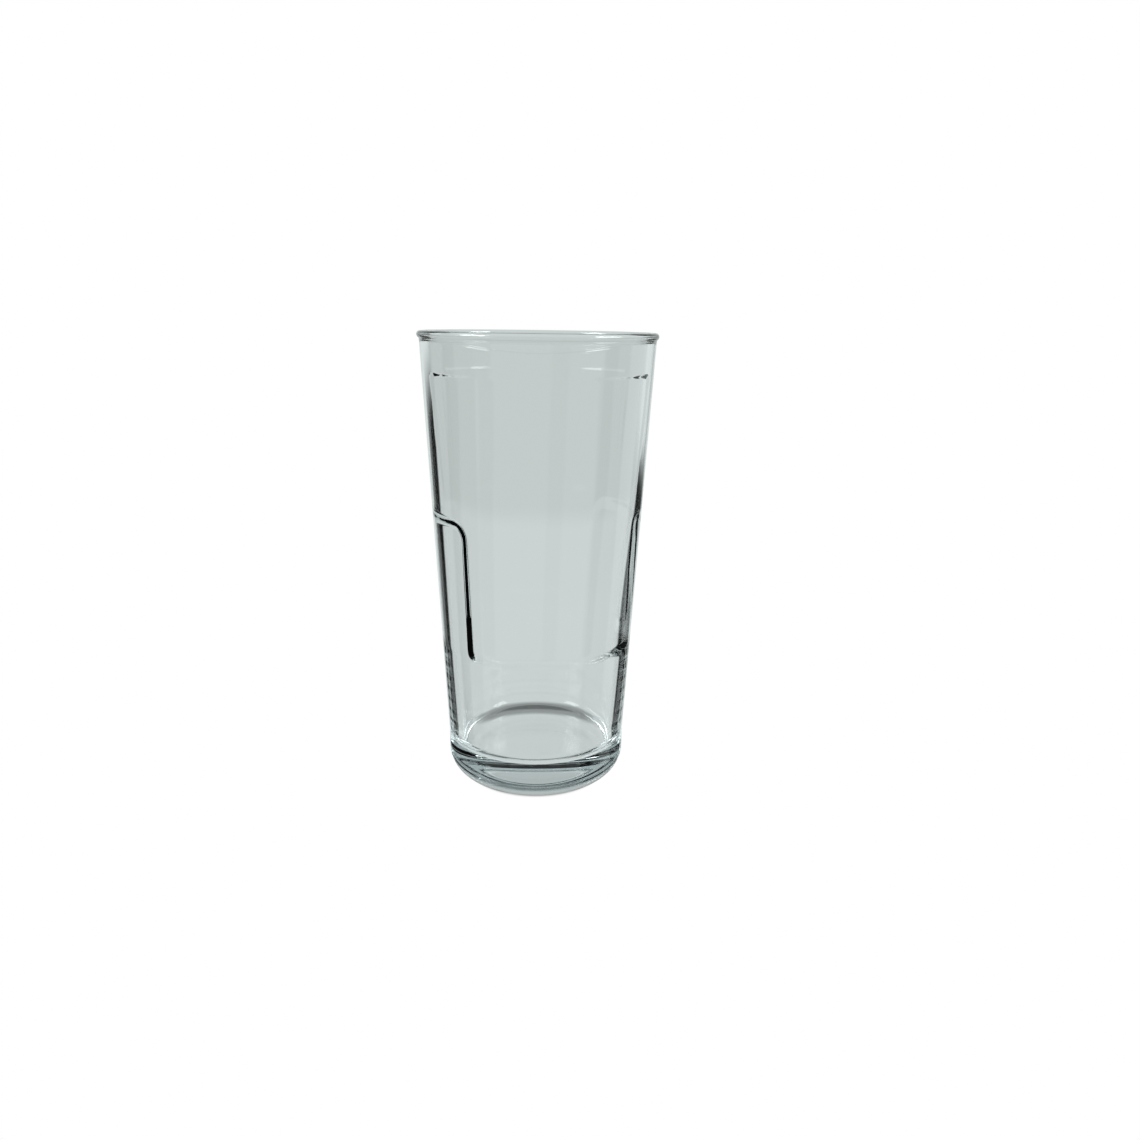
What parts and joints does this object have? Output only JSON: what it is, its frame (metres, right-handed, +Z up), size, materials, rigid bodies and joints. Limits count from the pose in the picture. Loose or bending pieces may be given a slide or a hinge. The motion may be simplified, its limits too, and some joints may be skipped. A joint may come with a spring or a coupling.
{
  "type": "mixing glass",
  "caption": "Tall tapered bar mixing glass, pressed in one piece, with a rounded rim bead, stacking pads inside the wall and a thick base.",
  "frame": {"origin": "centre of the resting face, on the glass's axis", "axes": "+Z up along the glass's axis to the rim, +X through the middle of one pair of stacking pads, -Y through the middle of one pair of windows, which is the side that the picture shows"},
  "size_m": [0.082, 0.082, 0.16],
  "materials": {
    "glass": "clear soda-lime glass with a slight grey-green tint, fire polished"
  },
  "bodies": {
    "root": {"glass": "glass"}
  },
  "joints": []
}
